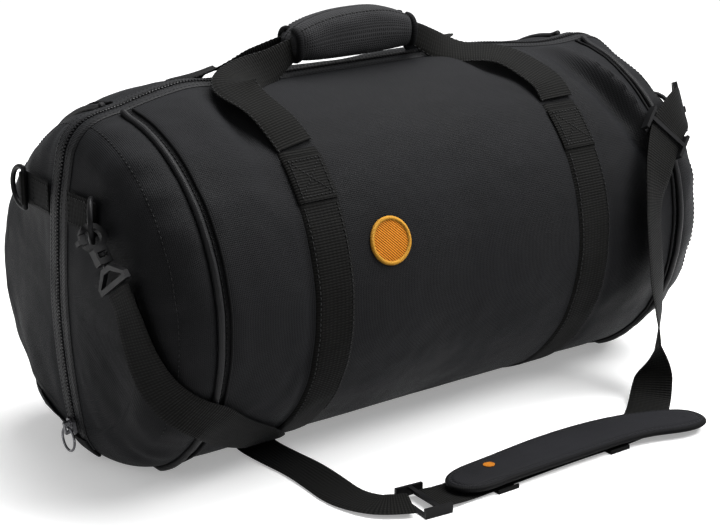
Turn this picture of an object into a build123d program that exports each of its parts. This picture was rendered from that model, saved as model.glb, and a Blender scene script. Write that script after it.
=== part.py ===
from build123d import *
import math
import os

# Padded telescope carry case.  Millimetres.  +X runs along the bag, -Y is the front with the
# shoulder strap, +Z is up.  The origin is on the flat underside, at the middle of the bag.

# ---- driving dimensions -------------------------------------------------------------------
BAG_RADIUS = 158.0        # outside of the barrel
AXIS_HEIGHT = 152.5       # barrel axis above the floor; the soft underside is pressed flat
RIM_X = 255.0             # the end caps are sewn on here
CAP_DEPTH = 57.0          # how far each domed end cap stands past its rim
CAP_EDGE_RADIUS = 48.0    # rounded shoulder between the rim and the dome

COVER = 1.6               # woven nylon cover
FOAM = 11.0               # closed-cell padding
LINING = 1.4              # smooth inner lining
WALL = COVER + FOAM + LINING

SPLIT_GAP = 0.3           # half the gap between the two halves, along the zipper
FOLD_HEIGHT = 38.0        # the rear half folds about a line this high at the back
FOLD_STANDOFF = 5.0       # the fold axis lies this far outside the cover

BAND_X = 144.5            # webbing bands and handle legs
WEBBING = 38.0            # width of the bands, the handles and the strap
WEBBING_THICKNESS = 1.6
PIPING_RADIUS = 3.2

ZIP_TAPE_WIDTH = 15.0     # each side
ZIP_TAPE_THICKNESS = 1.2
ZIP_TOOTH = 2.6           # each tooth's reach from the middle line
ZIP_END_HEIGHT = 14.0     # the tapes run down the caps to here

ANCHOR_ANGLE = 40.0       # where the handle webbing leaves the bag, from the top
ANCHOR_ARC = (43.5, 58.0)  # the box-stitched end of the handle webbing, from the top
ANCHOR_STANDOFF = 3.4     # outside of the sewn webbing ends
HANDLE_AXIS_RADIUS = BAG_RADIUS + 2.7
GRIP_X = (-84.0, 54.0)
GRIP_DEPTH = 18.0
GRIP_BASE_Z = 322.0
GRIP_END_Z = 347.0
GRIP_TOP_Z = 361.0
GRIP_WEB_Z = 336.0
GRIP_WEB_Y = 8.5

TAB_HEIGHT = 28.0         # webbing tab that holds a D-ring, on each side of each cap
TAB_Z = 232.0
TAB_END_Y = 58.0
WIRE = 4.4                # wire diameter of the D-rings and hook eyes
RING_INNER = 30.0         # inside height of a D-ring
RING_REACH = 21.0         # from the straight bar's centre to the round side's centre
RING_STANDOFF = 4.6       # bar centre above the cap cover

HOOK_LENGTH = 43.0        # from the D-ring wire to the webbing bar
HOOK_THICKNESS = 5.0
HOOK_MOUTH = 7.0          # inside radius of the hook's mouth
RING_PLAY = 2.6           # gap between the D-ring's wire and the hook that holds it
HOOK_MOUTH_Z = HOOK_LENGTH - HOOK_MOUTH + WIRE / 2 + RING_PLAY
HOOK_RIM = HOOK_MOUTH + 4.6   # outside radius of the hook
EYE_NECK = 7.0            # half width of the eye where it narrows to the swivel
EYE_NECK_Z = 13.0
SWIVEL_PIN_RADIUS = 2.4
SWIVEL_HEAD_RADIUS = 4.0
SWIVEL_HEAD_Z = 25.0

SLIDER_LENGTH = 15.0
SLIDER_WIDTH = 11.0
SLIDER_Z = 36.0
PULL_RADIUS = 10.5
PULL_WIRE = 2.2

PAD_BASE = 3.8            # the strap runs below this height, under the pad
PAD_THICKNESS = 9.0
PAD_SKIN = 1.0

STRAP_THICKNESS = 2.0
ADJUSTER_WIDTH = 48.0
ADJUSTER_LENGTH = 26.0
BAR = 4.2                 # width of an adjuster's bars, and half its height
FAR_ADJUSTER_STOP = 17    # the far adjuster sits at this stop of the far strap's route

KEEPERS = ((-46, -241.5), (84, -239.2))   # the loops under the pad that the strap runs through

BADGE_X = -85.0
BADGE_ANGLE = -74.0       # from the top, round the front
BADGE_RADIUS = 21.0

FAR = 700.0               # larger than the bag, for cutting shapes

CAP_EDGE_RADIUS_CENTRE = BAG_RADIUS - CAP_EDGE_RADIUS
DOME_RADIUS = ((CAP_DEPTH**2 + CAP_EDGE_RADIUS_CENTRE**2 - CAP_EDGE_RADIUS**2)
               / (2 * (CAP_DEPTH - CAP_EDGE_RADIUS)))
DOME_CENTRE_X = RIM_X + CAP_DEPTH - DOME_RADIUS
DOME_ANGLE = math.atan2(CAP_EDGE_RADIUS_CENTRE, RIM_X - DOME_CENTRE_X)
FOLD_Y = math.sqrt((BAG_RADIUS + FOLD_STANDOFF)**2 - (AXIS_HEIGHT - FOLD_HEIGHT)**2)

os.makedirs("parts", exist_ok=True)
nodes = {}


# ---- helpers ------------------------------------------------------------------------------
def block(x, y, z):
    """A box from three (low, high) pairs."""
    centre = ((x[0] + x[1]) / 2, (y[0] + y[1]) / 2, (z[0] + z[1]) / 2)
    return Pos(*centre) * Box(x[1] - x[0], y[1] - y[0], z[1] - z[0])


def bag_form(offset, floor):
    """The bag's round form grown by offset, with a flat underside at the height floor."""
    radius = BAG_RADIUS + offset
    edge = CAP_EDGE_RADIUS + offset
    dome = DOME_RADIUS + offset
    tip = RIM_X + CAP_DEPTH + offset

    def dome_point(angle):
        return DOME_CENTRE_X + dome * math.cos(angle), dome * math.sin(angle)

    def edge_point(angle):
        return RIM_X + edge * math.cos(angle), CAP_EDGE_RADIUS_CENTRE + edge * math.sin(angle)

    joint = dome_point(DOME_ANGLE)
    dome_mid = dome_point(DOME_ANGLE / 2)
    edge_mid = edge_point((DOME_ANGLE + math.pi / 2) / 2)
    lines = [Line((-RIM_X, radius), (RIM_X, radius)), Line((tip, 0), (-tip, 0))]
    for side in (-1, 1):
        lines.append(ThreePointArc((side * tip, 0), (side * dome_mid[0], dome_mid[1]),
                                   (side * joint[0], joint[1])))
        lines.append(ThreePointArc((side * joint[0], joint[1]), (side * edge_mid[0], edge_mid[1]),
                                   (side * RIM_X, radius)))
    solid = Pos(0, 0, AXIS_HEIGHT) * revolve(make_face(lines), Axis.X, 360)
    return solid & block((-FAR, FAR), (-FAR, FAR), (floor, FAR))


def cap_surface_x(y, z):
    """How far out the end cap's cover stands at (y, z)."""
    radius = math.hypot(y, z - AXIS_HEIGHT)
    if radius <= DOME_RADIUS * math.sin(DOME_ANGLE):
        return DOME_CENTRE_X + math.sqrt(DOME_RADIUS**2 - radius**2)
    return RIM_X + math.sqrt(CAP_EDGE_RADIUS**2 - (radius - CAP_EDGE_RADIUS_CENTRE)**2)


def on_barrel(angle, radius):
    """(y, z) at an angle from the top, positive towards the rear."""
    turn = math.radians(angle)
    return radius * math.sin(turn), AXIS_HEIGHT + radius * math.cos(turn)


def lid_space(clearance):
    """Everything that opens: behind the zipper and above the fold line."""
    return block((-FAR, FAR), (clearance, FAR), (FOLD_HEIGHT + clearance, FAR))


def halves(shape):
    """Split a shape that both halves share into its front and rear pieces."""
    return shape - lid_space(-SPLIT_GAP), shape & lid_space(SPLIT_GAP)


def sector(x, angle_low, angle_high):
    """A wedge of the barrel between two angles from the top, over the stretch x."""
    edge = [on_barrel(angle, 2 * BAG_RADIUS) for angle in (angle_low, angle_high)]
    face = make_face(Polyline((0, AXIS_HEIGHT), *edge, close=True))
    wedge = extrude(Plane.YZ * face, x[1] - x[0])
    return Pos(x[0], 0, 0) * wedge


def unit(vector):
    return vector * (1 / vector.length)


def ribbon(route, thickness, samples):
    """A flat strap along a smooth curve.  The route lists (point, outward normal, width)."""
    curve = Spline(*[point for point, _, _ in route])
    fractions = [curve.param_at_point(point) for point, _, _ in route]
    corners = []
    for step in range(samples + 1):
        t = step / samples
        index = max(i for i in range(len(route) - 1) if fractions[i] <= t or i == 0)
        blend = (t - fractions[index]) / (fractions[index + 1] - fractions[index])
        blend = min(max(blend, 0), 1)
        facing = Vector(*route[index][1]) * (1 - blend) + Vector(*route[index + 1][1]) * blend
        width = route[index][2] * (1 - blend) + route[index + 1][2] * blend
        along = unit(curve % t)
        across = unit(along.cross(facing)) * (width / 2)
        up = unit(across.cross(along)) * (thickness / 2)
        centre = curve @ t
        corners.append([centre - across - up, centre + across - up,
                        centre + across + up, centre - across + up])
    faces = [Face(Wire.make_polygon(corners[0])), Face(Wire.make_polygon(corners[-1]))]
    for near, far in zip(corners, corners[1:]):
        for side in range(4):
            other = (side + 1) % 4
            faces.append(Face(Wire.make_polygon([near[side], near[other], far[other]])))
            faces.append(Face(Wire.make_polygon([near[side], far[other], far[side]])))
    return Solid(Shell(faces))


# ---- padded shell -------------------------------------------------------------------------
form = {depth: bag_form(-depth, depth) for depth in (0, COVER, COVER + FOAM, WALL)}
band_space = bag_form(WEBBING_THICKNESS, 0) - bag_form(0, WEBBING_THICKNESS)
bands = Compound([band_space & block((x - WEBBING / 2, x + WEBBING / 2), (-FAR, FAR), (-FAR, FAR))
                  for x in (-BAND_X, BAND_X)])

layers = {"cover": form[0] - form[COVER] - bands,
          "foam": form[COVER] - form[COVER + FOAM],
          "lining": form[COVER + FOAM] - form[WALL]}
regions = {"": block((-RIM_X, RIM_X), (-FAR, FAR), (-FAR, FAR)),
           "near_cap_": block((-FAR, -RIM_X), (-FAR, FAR), (-FAR, FAR)),
           "far_cap_": block((RIM_X, FAR), (-FAR, FAR), (-FAR, FAR))}

for layer in ("cover", "foam"):
    for region, space in regions.items():
        front, rear = halves(layers[layer] & space)
        nodes[f"{region}front_{layer}"] = front
        nodes[f"{region}rear_{layer}"] = rear
nodes["front_lining"], nodes["rear_lining"] = halves(layers["lining"])

# ---- webbing bands, piping and zipper -----------------------------------------------------
band_top = sector((-FAR / 2, FAR / 2), -ANCHOR_ANGLE - 1.5, ANCHOR_ANGLE + 1.5)
nodes["front_bands"], nodes["rear_bands"] = halves(bands - band_top)

piping = Compound([])
for side in (-1, 1):
    bead = Pos(side * RIM_X, 0, AXIS_HEIGHT) * Rot(0, 90, 0) * Torus(BAG_RADIUS, PIPING_RADIUS)
    piping += (bead - bag_form(0, -FAR)) & block((-FAR, FAR), (-FAR, FAR), (0, FAR))
piping -= block((-FAR, FAR), (-ZIP_TAPE_WIDTH - 3, ZIP_TAPE_WIDTH + 3), (AXIS_HEIGHT, FAR))
nodes["front_piping"], nodes["rear_piping"] = halves(piping)

zip_run = block((-FAR, FAR), (-FAR, FAR), (ZIP_END_HEIGHT, FAR))
tape_skin = (bag_form(ZIP_TAPE_THICKNESS, 0) - form[0]) & zip_run
tooth_skin = bag_form(2 * ZIP_TAPE_THICKNESS, 0) - bag_form(ZIP_TAPE_THICKNESS, 0)
tape_space = block((-FAR, FAR), (-ZIP_TAPE_WIDTH, ZIP_TAPE_WIDTH), (ZIP_END_HEIGHT, FAR))
tape_front, tape_rear = halves(tape_skin & tape_space)
nodes["front_zip_tape"] = tape_front
nodes["rear_zip_tape"] = tape_rear


def tooth_row(side):
    """The coil of teeth along one tape, as a rail that stays on its own side."""
    low, high = sorted((side * SPLIT_GAP, side * ZIP_TOOTH))
    return tooth_skin & block((-FAR, FAR), (low, high), (FOLD_HEIGHT + SPLIT_GAP, FAR))


nodes["front_zip_teeth"] = tooth_row(-1)
nodes["rear_zip_teeth"] = tooth_row(1)

end_patches = Compound([])
for side in (-1, 1):
    patch_skin = bag_form(2 * ZIP_TAPE_THICKNESS + 0.2, 0) - bag_form(ZIP_TAPE_THICKNESS, 0)
    reach = sorted((side * RIM_X, side * FAR))
    end_patches += patch_skin & block(reach, (-13, 13), (ZIP_END_HEIGHT - 8, ZIP_END_HEIGHT + 10))
end_patches -= nodes["front_zip_tape"]
nodes["zip_end_patches"] = end_patches

# ---- handle anchors and handles -----------------------------------------------------------
patch_skin = bag_form(ANCHOR_STANDOFF, 0) - bag_form(WEBBING_THICKNESS, 0)
for name, sign in (("front", -1), ("rear", 1)):
    low, high = sorted(sign * angle for angle in ANCHOR_ARC)
    patches = [patch_skin & sector((x - WEBBING / 2, x + WEBBING / 2), low, high)
               for x in (-BAND_X, BAND_X)]
    nodes[f"{name}_handle_anchors"] = Compound(patches)

handle_y, handle_z = on_barrel(ANCHOR_ANGLE, HANDLE_AXIS_RADIUS)
slope = (math.cos(math.radians(ANCHOR_ANGLE)), math.sin(math.radians(ANCHOR_ANGLE)))
grip_centre = sum(GRIP_X) / 2


def handle_route(sign):
    """Webbing loop from one anchor up, along the grip and down to the other anchor."""
    def rising(distance):
        return sign * (handle_y - distance * slope[0]), handle_z + distance * slope[1]

    def over(angle, lift):
        return on_barrel(sign * angle, BAG_RADIUS + lift)

    def radial(angle, lean=0.0):
        turn = math.radians(angle)
        return (lean, sign * math.sin(turn), math.cos(turn))

    grip_normal = (0, sign, 0.12)
    grip = (sign * GRIP_WEB_Y, GRIP_WEB_Z)
    left, right = GRIP_X
    return [((-BAND_X, *rising(1.5)), radial(ANCHOR_ANGLE), WEBBING),
            ((-BAND_X - 5, *over(31, 6)), radial(31), WEBBING),
            ((-BAND_X - 13, *over(21, 9)), radial(24), WEBBING),
            ((-BAND_X - 16, *over(12.5, 14)), radial(33, -0.35), WEBBING),
            ((-BAND_X + 1, sign * 23, 327), radial(58, -0.25), WEBBING),
            ((left - 30, sign * 15, 333), radial(74), 34),
            ((left + 4, *grip), grip_normal, 20),
            ((left + 30, *grip), grip_normal, 20),
            ((grip_centre, *grip), grip_normal, 20),
            ((right - 30, *grip), grip_normal, 20),
            ((right - 4, *grip), grip_normal, 20),
            ((right + 22, sign * 13, 331.5), radial(74), 30),
            ((right + 48, sign * 24, 327), radial(52), 36),
            ((BAND_X - 22, *over(17, 12)), radial(28), WEBBING),
            ((BAND_X - 7, *over(27, 8)), radial(30), WEBBING),
            ((BAND_X - 1, *over(34, 5.5)), radial(35), WEBBING),
            ((BAND_X, *rising(1.5)), radial(ANCHOR_ANGLE), WEBBING)]


def grip_half(sign):
    """Padded wrap around one loop: flat below, arched above, with a tunnel for the webbing."""
    left, right = GRIP_X
    outline = [Line((left, GRIP_BASE_Z + 4), (left, GRIP_END_Z)),
               ThreePointArc((left, GRIP_END_Z), (grip_centre, GRIP_TOP_Z), (right, GRIP_END_Z)),
               Line((right, GRIP_END_Z), (right, GRIP_BASE_Z + 4)),
               ThreePointArc((right, GRIP_BASE_Z + 4), (grip_centre, GRIP_BASE_Z),
                             (left, GRIP_BASE_Z + 4))]
    body = extrude(Plane.XZ * make_face(outline), -GRIP_DEPTH)
    outer = body.faces().sort_by(Axis.Y)[-1]
    body = chamfer(outer.edges(), 4.0)
    tunnel = block((-FAR, FAR), (GRIP_WEB_Y - 3.5, GRIP_WEB_Y + 3.5),
                   (GRIP_WEB_Z - 12.3, GRIP_WEB_Z + 12.3))
    body = Pos(0, SPLIT_GAP, 0) * body - tunnel
    return body if sign > 0 else mirror(body, Plane.XZ)


for name, sign in (("front", -1), ("rear", 1)):
    nodes[f"{name}_handle_webbing"] = ribbon(handle_route(sign), STRAP_THICKNESS, 60)
    nodes[f"{name}_grip_pad"] = grip_half(sign)


# ---- D-ring tabs and D-rings --------------------------------------------------------------
def d_ring():
    """Flat D lying in the YZ plane, straight bar on the Z axis, round side towards +Y."""
    half = RING_INNER / 2 + WIRE / 2
    arc = ThreePointArc((0, half), (RING_REACH, 0), (0, -half))
    bow = sweep(Plane(arc @ 0, z_dir=arc % 0) * Circle(WIRE / 2), arc)
    ring = Plane.YZ * bow + Cylinder(WIRE / 2, 2 * half)
    for end in (-half, half):
        ring += Pos(0, 0, end) * Sphere(WIRE / 2)
    return ring


def cap_tab(side, sign):
    """Folded webbing tab on an end cap, with an eye at its end for the D-ring's bar."""
    skin = bag_form(RING_STANDOFF - 2.6, 0) - form[0]
    reach = sorted((side * RIM_X, side * FAR))
    start, end = sorted((sign * (ZIP_TAPE_WIDTH + 1), sign * (TAB_END_Y - 5)))
    z_range = (TAB_Z - TAB_HEIGHT / 2, TAB_Z + TAB_HEIGHT / 2)
    strip = skin & block(reach, (start, end), z_range)
    x, y, z = ring_bar_centre(side, sign)
    sleeve = Pos(x, y, z) * (Cylinder(RING_STANDOFF - 0.6, TAB_HEIGHT)
                             - Cylinder(WIRE / 2 + 0.3, TAB_HEIGHT))
    low, high = sorted((sign * (TAB_END_Y - 12), y))
    x_low, x_high = sorted((x - side * (RING_STANDOFF - 1.6), x - side * (WIRE / 2 + 0.3)))
    neck = block((x_low, x_high), (low, high), z_range) - Pos(x, y, z) * Cylinder(3.5, TAB_HEIGHT)
    return (strip + sleeve + neck) - form[0]


def ring_bar_centre(side, sign):
    x = cap_surface_x(TAB_END_Y, TAB_Z) + RING_STANDOFF
    return side * x, sign * TAB_END_Y, TAB_Z


RING_SWING = {"front": 32.0, "rear": 0.0}     # front D-rings are held off the cap by the hooks
for end, side in (("near", -1), ("far", 1)):
    for face, sign in (("front", -1), ("rear", 1)):
        nodes[f"{end}_{face}_tab"] = cap_tab(side, sign)
        ring = Rot(0, 0, 0 if sign > 0 else 180) * d_ring()
        swing = -side * sign * RING_SWING[face]
        nodes[f"{end}_{face}_d_ring"] = Pos(*ring_bar_centre(side, sign)) * Rot(0, 0, swing) * ring


# ---- snap hooks ---------------------------------------------------------------------------
def hook_parts():
    """Swivel snap hook: eye bar along X at z = 0, D-ring wire along Y at z = HOOK_LENGTH."""
    half = WEBBING / 2 + 1
    top = EYE_NECK_Z + WIRE / 2
    neck, neck_inside = EYE_NECK, EYE_NECK - 1.5
    outer = Polyline((-half - WIRE, -WIRE / 2), (half + WIRE, -WIRE / 2), (half + WIRE, 4),
                     (neck, top), (-neck, top), (-half - WIRE, 4), close=True)
    inner = Polyline((-half, WIRE / 2), (half, WIRE / 2), (half, 3),
                     (neck_inside, top - WIRE), (-neck_inside, top - WIRE), (-half, 3), close=True)
    frame = make_face(outer) - make_face(inner)
    eye = extrude(Plane.XZ * frame, WIRE / 2, both=True)
    eye += Pos(0, 0, (EYE_NECK_Z + SWIVEL_HEAD_Z + 1) / 2) * Cylinder(SWIVEL_PIN_RADIUS, 10)
    eye += Pos(0, 0, SWIVEL_HEAD_Z) * Cylinder(SWIVEL_HEAD_RADIUS, 2.6)

    rim = HOOK_RIM
    ring = extrude(Plane.XZ * (Circle(rim) - Circle(HOOK_MOUTH)), HOOK_THICKNESS / 2, both=True)
    ring = Pos(0, 0, HOOK_MOUTH_Z) * ring
    gate_z = (HOOK_MOUTH_Z - 4.5, HOOK_MOUTH_Z + 5.5)
    gate_x = (-rim - 1, -HOOK_MOUTH + 3)
    yoke = block((-6, 6), (-4.5, 4.5), (17.5, HOOK_MOUTH_Z - 9))
    yoke -= block((-SWIVEL_HEAD_RADIUS - 0.4, SWIVEL_HEAD_RADIUS + 0.4), (-9, 9), (22.5, 27.6))
    yoke -= Pos(0, 0, 18) * Cylinder(SWIVEL_PIN_RADIUS + 0.3, 12)
    hook = ring + yoke - block(gate_x, (-9, 9), gate_z)
    gate = ring & block(gate_x, (-1.8, 1.8), (gate_z[0] + 1.0, gate_z[1] - 0.5))
    gate += block((-rim - 3, -rim + 0.5), (-3, 3), (HOOK_MOUTH_Z - 3, HOOK_MOUTH_Z + 1))
    return {"hook_eye": eye, "hook": hook, "gate": gate}


def hook_frame(wire_point, bar_point, outward):
    """Frame whose z axis runs from the webbing bar to the D-ring wire."""
    along = unit(Vector(*wire_point) - Vector(*bar_point))
    across = unit(along.cross(Vector(*outward)))
    return Plane(origin=bar_point, x_dir=across, z_dir=along)


def ring_wire_point(side, sign, turn):
    """Centre of a front D-ring's wire, turn degrees below its outermost point."""
    swing = math.radians(RING_SWING["front"])
    reach = RING_REACH - 1.5 if turn else RING_REACH
    y_out = reach * math.cos(math.radians(turn))
    z_out = -15.0 * math.sin(math.radians(turn))
    x, y, z = ring_bar_centre(side, sign)
    return x + side * y_out * math.sin(swing), y + sign * y_out * math.cos(swing), z + z_out


hooks = {}
for end, side, bar_point in (("near", -1, (-311.0, -104.0, 178.0)), ("far", 1, (276.0, -142.0, 262.0))):
    wire_point = ring_wire_point(side, -1, 30 if end == "near" else 0)
    start = Vector(*wire_point)
    toward = unit(Vector(*bar_point) - start)
    bar_point = start + toward * HOOK_LENGTH
    outward = (side, 0, 0) if end == "near" else (0.6, -0.75, 0.3)
    hooks[end] = hook_frame(tuple(start), tuple(bar_point), outward)
    for part, shape in hook_parts().items():
        turn = Rot(0, 0, 0) if part == "hook_eye" else Rot(0, 0, 90)
        nodes[f"{end}_{part}"] = hooks[end] * (turn * shape)

# ---- shoulder strap -----------------------------------------------------------------------
def on_edge(side, angle, turn, lift):
    """(point, normal) on the rounded shoulder of a cap: turn is 0 at the rim, more towards the dome."""
    reach = CAP_EDGE_RADIUS + lift
    rise = math.radians(turn)
    y, z = on_barrel(angle, CAP_EDGE_RADIUS_CENTRE + reach * math.cos(rise))
    flat_y, flat_z = math.sin(math.radians(angle)), math.cos(math.radians(angle))
    normal = (side * math.sin(rise), flat_y * math.cos(rise), flat_z * math.cos(rise))
    return (side * (RIM_X + reach * math.sin(rise)), y, z), normal


def on_wall(x, angle, lift):
    """(point, normal) on the barrel at an angle from the top."""
    y, z = on_barrel(angle, BAG_RADIUS + lift)
    return (x, y, z), (0, math.sin(math.radians(angle)), math.cos(math.radians(angle)))


UP = (0, 0, 1)
near_bar = hooks["near"].origin
far_bar = hooks["far"].origin
near_lead = [near_bar - hooks["near"].z_dir * reach for reach in (4.5, 17)]
far_lead = [far_bar - hooks["far"].z_dir * reach for reach in (17, 4.5)]

# Down the near cap, over the rim, round the underside, back out and along the floor.
near_route = [*[(tuple(point), (-1, 0, 0)) for point in near_lead],
              on_edge(-1, -98, 76, 6),
              on_edge(-1, -109, 55, 4),
              on_edge(-1, -115, 28, 4),
              on_edge(-1, -119, 0, 6),
              on_wall(-232, -127, 4.4),
              on_wall(-206, -134, 4.4),
              on_wall(-184, -141, 4.4),
              on_wall(-170, -147, 4.4),
              on_wall(-164, -152.5, 4.4),
              ((-163, -66, 5.6), (0, -0.35, -0.93)),
              ((-163, -59.5, 3.8), (0, -1, 0)),
              ((-163, -66, 2.0), UP),
              ((-162.5, -78, 1.5), UP),
              ((-161, -98, 1.3), UP),
              ((-158, -130, 1.3), UP),
              ((-160, -162, 1.3), UP),
              ((-163, -192, 1.4), UP),
              ((-158, -214, 2.4), UP),
              ((-149, -231, 4.1), UP),
              ((-130, -240.5, 4.4), UP)]

# Along the floor under the pad, up past the far end of the barrel and over the far rim.
far_route = [((-118, -242.4, 4.4), UP),
             ((-105, -243, 3.9), UP),
             ((-93, -243, 2.6), UP),
             ((-70, -242.5, 2.3), UP),
             ((0, -239, 2.3), UP),
             ((60, -238, 2.3), UP),
             ((106, -240, 2.3), UP),
             ((138, -233, 2.3), UP),
             ((162, -217, 2.2), UP),
             ((181, -202, 6), (-0.45, -0.4, 0.8)),
             ((193, -193, 22), (-0.85, -0.3, 0.25)),
             ((208, -183, 44), (-0.8, 0.6, 0)),
             ((216, -175, 72), (-0.6, 0.8, 0)),
             ((214, -172, 108), (-0.46, 0.89, 0)),
             ((209, -171, 145), (-0.46, 0.89, 0)),
             ((206, -170, 182), (-0.4, 0.9, -0.1)),
             ((220, -161, 214), (-0.25, 0.85, -0.4)),
             ((244, -144, 237), (-0.15, 0.83, -0.55)),
             ((269, -135, 252), (-0.4, 0.75, -0.5)),
             *[(tuple(point), (-0.6, 0.75, -0.3)) for point in far_lead]]

nodes["near_strap"] = ribbon([(*stop, WEBBING) for stop in near_route], STRAP_THICKNESS, 110)
nodes["far_strap"] = ribbon([(*stop, WEBBING) for stop in far_route], STRAP_THICKNESS, 120)


def adjuster():
    """Three-bar buckle on a strap that runs along X at z = 0."""
    rail = WEBBING / 2 + 2
    edge = ADJUSTER_WIDTH / 2
    end = ADJUSTER_LENGTH / 2
    slot = STRAP_THICKNESS / 2 + 1.2
    frame = block((-end, end), (rail, edge), (-BAR, BAR)) + block((-end, end), (-edge, -rail), (-BAR, BAR))
    frame += block((-end, -end + BAR), (-edge, edge), (-BAR, -slot))
    frame += block((end - BAR, end), (-edge, edge), (-BAR, -slot))
    frame += block((-BAR / 2, BAR / 2), (-edge, edge), (slot, BAR))
    return frame


def strap_frame(route, index):
    """Frame on a strap: x along it, z along the outward normal."""
    curve = Spline(*[point for point, _ in route])
    along = unit(curve % curve.param_at_point(route[index][0]))
    across = Vector(*route[index][1]).cross(along)
    return Plane(origin=route[index][0], x_dir=along, z_dir=along.cross(across))


nodes["near_adjuster"] = Pos(-119.0, -242.2, 4.4) * Rot(0, 0, -6) * adjuster()
far_adjuster_frame = strap_frame(far_route, FAR_ADJUSTER_STOP)
nodes["far_adjuster"] = far_adjuster_frame * Rot(180, 0, 0) * adjuster()

# ---- shoulder pad -------------------------------------------------------------------------
def pad_slab(grow, base, thickness):
    """The pad's outline grown by grow, as a slab."""
    rear_left, rear_right = (-82, -229 + grow), (166, -238 + grow)
    front_left, front_right = (-82, -256 - grow), (166, -276 - grow)
    outline = [Spline(rear_left, (-46, -220 + grow), (10, -215 + grow), (70, -214 + grow),
                      (125, -222 + grow), rear_right),
               Spline(front_left, (-46, -261 - grow), (10, -260 - grow), (70, -260 - grow),
                      (125, -266 - grow), front_right),
               ThreePointArc(rear_left, (-90 - grow, -242), front_left),
               ThreePointArc(rear_right, (182 + grow, -260), front_right)]
    return Pos(0, 0, base) * extrude(make_face(outline), thickness)


pad_foam = pad_slab(-2 * PAD_SKIN, PAD_BASE + PAD_SKIN, PAD_THICKNESS - 2 * PAD_SKIN)
nodes["shoulder_pad_foam"] = pad_foam
nodes["shoulder_pad_cover"] = pad_slab(0, PAD_BASE, PAD_THICKNESS) - pad_foam
nodes["shoulder_pad_binding"] = pad_slab(2, PAD_BASE + 2.5, 4) - pad_slab(0, PAD_BASE + 2.5, 4)
keepers = Compound([])
for x, y in KEEPERS:
    loop = block((x - 11, x + 11), (y - 23, y + 23), (0, PAD_BASE))
    keepers += loop - block((x - 12, x + 12), (y - 21.5, y + 21.5), (0.8, PAD_BASE + 1))
nodes["pad_keepers"] = keepers

# ---- zipper sliders and ring pulls ---------------------------------------------------------
slider_turn = math.asin((SLIDER_Z - AXIS_HEIGHT) / DOME_RADIUS)
for end, side in (("near", -1), ("far", 1)):
    def cap_frame(lift):
        reach = DOME_RADIUS + lift
        normal = (side * math.cos(slider_turn), 0, math.sin(slider_turn))
        centre = (side * (DOME_CENTRE_X + reach * math.cos(slider_turn)), 0,
                  AXIS_HEIGHT + reach * math.sin(slider_turn))
        return Plane(origin=centre, x_dir=(0, 1, 0), z_dir=normal)

    body = block((-SLIDER_WIDTH / 2, SLIDER_WIDTH / 2), (-SLIDER_LENGTH / 2, SLIDER_LENGTH / 2), (0, 3.2))
    body = chamfer(body.edges().filter_by(Axis.Z), 2.4)
    bridge = block((-1.6, 1.6), (-5.5, 5.5), (3.0, 9.0)) - block((-3, 3), (-3.2, 3.2), (3.2, 7.4))
    nodes[f"{end}_slider"] = cap_frame(3.2) * (body + bridge)
    pivot = cap_frame(3.2 + 5.4).origin
    ring = Rot(0, 90, 0) * Torus(PULL_RADIUS, PULL_WIRE / 2)
    nodes[f"{end}_pull_ring"] = Pos(pivot.X, 0, pivot.Z - PULL_RADIUS) * ring

# ---- generic round patch on the front ------------------------------------------------------
badge_y, badge_z = on_barrel(BADGE_ANGLE, BAG_RADIUS)
badge_axis = Plane(origin=(BADGE_X, badge_y, badge_z), x_dir=(1, 0, 0),
                   z_dir=(0, badge_y, badge_z - AXIS_HEIGHT))
disc = badge_axis * Cylinder(BADGE_RADIUS, 30.0)
nodes["front_badge"] = (bag_form(1.0, 0) - form[0]) & disc & block((-FAR, FAR), (-FAR, 0), (0, FAR))

for name, shape in nodes.items():
    export_step(Compound(shape.solids()), f"parts/{name}.step")
print(len(nodes), "nodes")
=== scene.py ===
import math

import bpy
import numpy as np
from mathutils import Matrix, Vector, noise


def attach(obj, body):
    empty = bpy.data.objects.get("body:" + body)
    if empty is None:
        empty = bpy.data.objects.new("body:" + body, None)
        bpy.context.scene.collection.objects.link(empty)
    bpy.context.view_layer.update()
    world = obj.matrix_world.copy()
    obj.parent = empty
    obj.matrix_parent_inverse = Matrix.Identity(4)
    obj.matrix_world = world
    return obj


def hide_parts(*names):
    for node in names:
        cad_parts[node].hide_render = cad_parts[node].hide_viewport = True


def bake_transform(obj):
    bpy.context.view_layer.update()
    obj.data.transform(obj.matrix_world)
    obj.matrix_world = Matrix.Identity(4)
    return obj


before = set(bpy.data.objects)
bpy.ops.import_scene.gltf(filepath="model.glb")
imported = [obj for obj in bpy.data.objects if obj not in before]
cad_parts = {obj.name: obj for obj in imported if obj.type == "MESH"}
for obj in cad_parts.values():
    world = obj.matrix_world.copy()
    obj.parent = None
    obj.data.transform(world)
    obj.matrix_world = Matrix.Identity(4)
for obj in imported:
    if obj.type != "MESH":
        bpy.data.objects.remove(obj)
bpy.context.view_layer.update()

# Padded telescope carry case.  Lengths in this file are millimetres unless they say metres; M
# turns them into metres when a mesh is made.  The near end is at -x, the front at -y.

M = 0.001
HALVES = (("front", -1, "front_half"), ("rear", 1, "rear_half"))  # name, side in y, body
ENDS = (("near", -1), ("far", 1))  # name, side in x

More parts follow.
